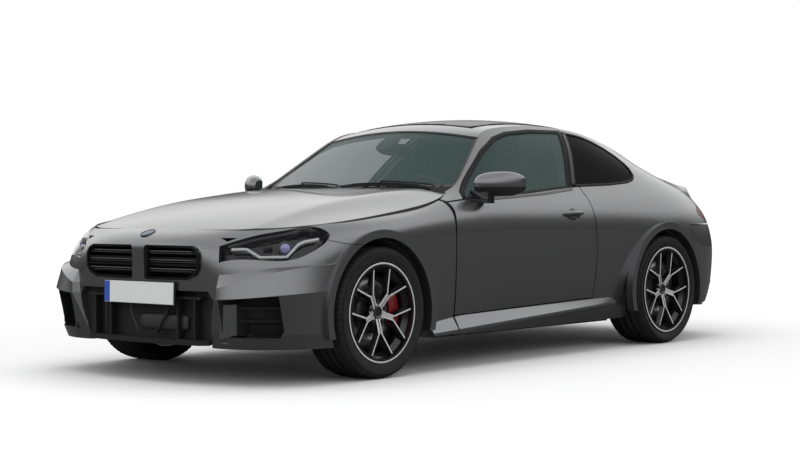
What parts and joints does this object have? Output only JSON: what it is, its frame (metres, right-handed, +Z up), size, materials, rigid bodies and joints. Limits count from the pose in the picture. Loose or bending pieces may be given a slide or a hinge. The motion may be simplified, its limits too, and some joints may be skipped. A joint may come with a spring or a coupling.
{
  "type": "coupe car",
  "caption": "Two-door coupe car with a long hood, sloping tail, spoked wheels, opening doors and lids, and steered front wheels.",
  "frame": {"origin": "middle of the car's bounding box, on the ground under the tyres", "axes": "+X to the car's left side, -Y towards the nose, +Z up"},
  "size_m": [2.0676, 4.5461, 1.4002],
  "materials": {
    "body_paint": "metallic gloss grey",
    "dark_trim": "satin",
    "grille_black": "gloss",
    "lamp_lens": "clear lens over dark housing",
    "tail_lens": "gloss red",
    "clear_glass": "light green tint",
    "dark_glass": "privacy tint",
    "tyre_rubber": "matte",
    "wheel_alloy": "gloss black with machined edges",
    "seat_leather": "matte",
    "cabin_plastic": "grained",
    "floor_steel": "satin underseal",
    "engine_alloy": "cast",
    "axle_iron": "cast"
  },
  "bodies": {
    "chassis": {"floor": "floor_steel", "front_bumper": "body_paint", "kidney_grille_left": "grille_black", "kidney_grille_right": "grille_black", "lower_trim": "dark_trim", "headlamp_left": "lamp_lens", "headlamp_right": "lamp_lens", "fender_left": "body_paint", "fender_right": "body_paint", "side_frame_left": "body_paint", "side_frame_right": "body_paint", "quarter_glass_left": "dark_glass", "quarter_glass_right": "dark_glass", "windscreen": "clear_glass", "roof": "body_paint", "rear_window": "clear_glass", "rear_bumper": "body_paint", "tail_lamp_left": "tail_lens", "tail_lamp_right": "tail_lens", "diffuser": "dark_trim", "dashboard": "cabin_plastic", "seat_left": "seat_leather", "seat_right": "seat_leather", "rear_bench": "seat_leather", "engine_block": "engine_alloy", "rear_axle": "axle_iron"},
    "hood": {"hood": "body_paint"},
    "trunk_lid": {"trunk_lid": "body_paint"},
    "steering_wheel": {"steering_wheel": "seat_leather"},
    "door_left": {"door_left": "body_paint", "door_glass_left": "clear_glass", "door_mirror_left": "body_paint"},
    "knuckle_left": {"knuckle_left": "axle_iron"},
    "wheel_front_left": {"tyre_front_left": "tyre_rubber", "rim_front_left": "wheel_alloy"},
    "wheel_rear_left": {"tyre_rear_left": "tyre_rubber", "rim_rear_left": "wheel_alloy"},
    "door_right": {"door_right": "body_paint", "door_glass_right": "clear_glass", "door_mirror_right": "body_paint"},
    "knuckle_right": {"knuckle_right": "axle_iron"},
    "wheel_front_right": {"tyre_front_right": "tyre_rubber", "rim_front_right": "wheel_alloy"},
    "wheel_rear_right": {"tyre_rear_right": "tyre_rubber", "rim_rear_right": "wheel_alloy"}
  },
  "joints": [
    {"name": "hood_hinge", "type": "hinge", "parent": "chassis", "child": "hood", "pos_m": [0, -0.716, 0.95], "axis": [-1, 0, 0], "range_deg": [0, 50]},
    {"name": "trunk_hinge", "type": "hinge", "parent": "chassis", "child": "trunk_lid", "pos_m": [0, 1.615, 1.11], "axis": [1, 0, 0], "range_deg": [0, 70]},
    {"name": "door_left_hinge", "type": "hinge", "parent": "chassis", "child": "door_left", "pos_m": [0.85949, -0.90458, 0.5], "axis": [0, 0, -1], "range_deg": [0, 68]},
    {"name": "steer_left", "type": "hinge", "parent": "chassis", "child": "knuckle_left", "pos_m": [0.8, -1.446, 0.337], "axis": [0, 0, 1], "range_deg": [-33, 33]},
    {"name": "spin_front_left", "type": "hinge", "parent": "knuckle_left", "child": "wheel_front_left", "pos_m": [0.8085, -1.446, 0.337], "axis": [1, 0, 0], "continuous": true},
    {"name": "spin_rear_left", "type": "hinge", "parent": "chassis", "child": "wheel_rear_left", "pos_m": [0.8025, 1.301, 0.339], "axis": [1, 0, 0], "continuous": true},
    {"name": "door_right_hinge", "type": "hinge", "parent": "chassis", "child": "door_right", "pos_m": [-0.85949, -0.90458, 0.5], "axis": [0, 0, 1], "range_deg": [0, 68]},
    {"name": "steer_right", "type": "hinge", "parent": "chassis", "child": "knuckle_right", "pos_m": [-0.8, -1.446, 0.337], "axis": [0, 0, 1], "range_deg": [-33, 33]},
    {"name": "spin_front_right", "type": "hinge", "parent": "knuckle_right", "child": "wheel_front_right", "pos_m": [-0.8085, -1.446, 0.337], "axis": [1, 0, 0], "continuous": true},
    {"name": "spin_rear_right", "type": "hinge", "parent": "chassis", "child": "wheel_rear_right", "pos_m": [-0.8025, 1.301, 0.339], "axis": [1, 0, 0], "continuous": true},
    {"name": "steering_wheel_turn", "type": "hinge", "parent": "chassis", "child": "steering_wheel", "pos_m": [0.37, -0.36872, 0.86986], "axis": [0, 0.9114, 0.4115], "range_deg": [-465, 465]}
  ],
  "couplings": [
    {"joint": "steer_right", "follows": "steer_left", "ratio": 1},
    {"joint": "steering_wheel_turn", "follows": "steer_left", "ratio": 14}
  ]
}
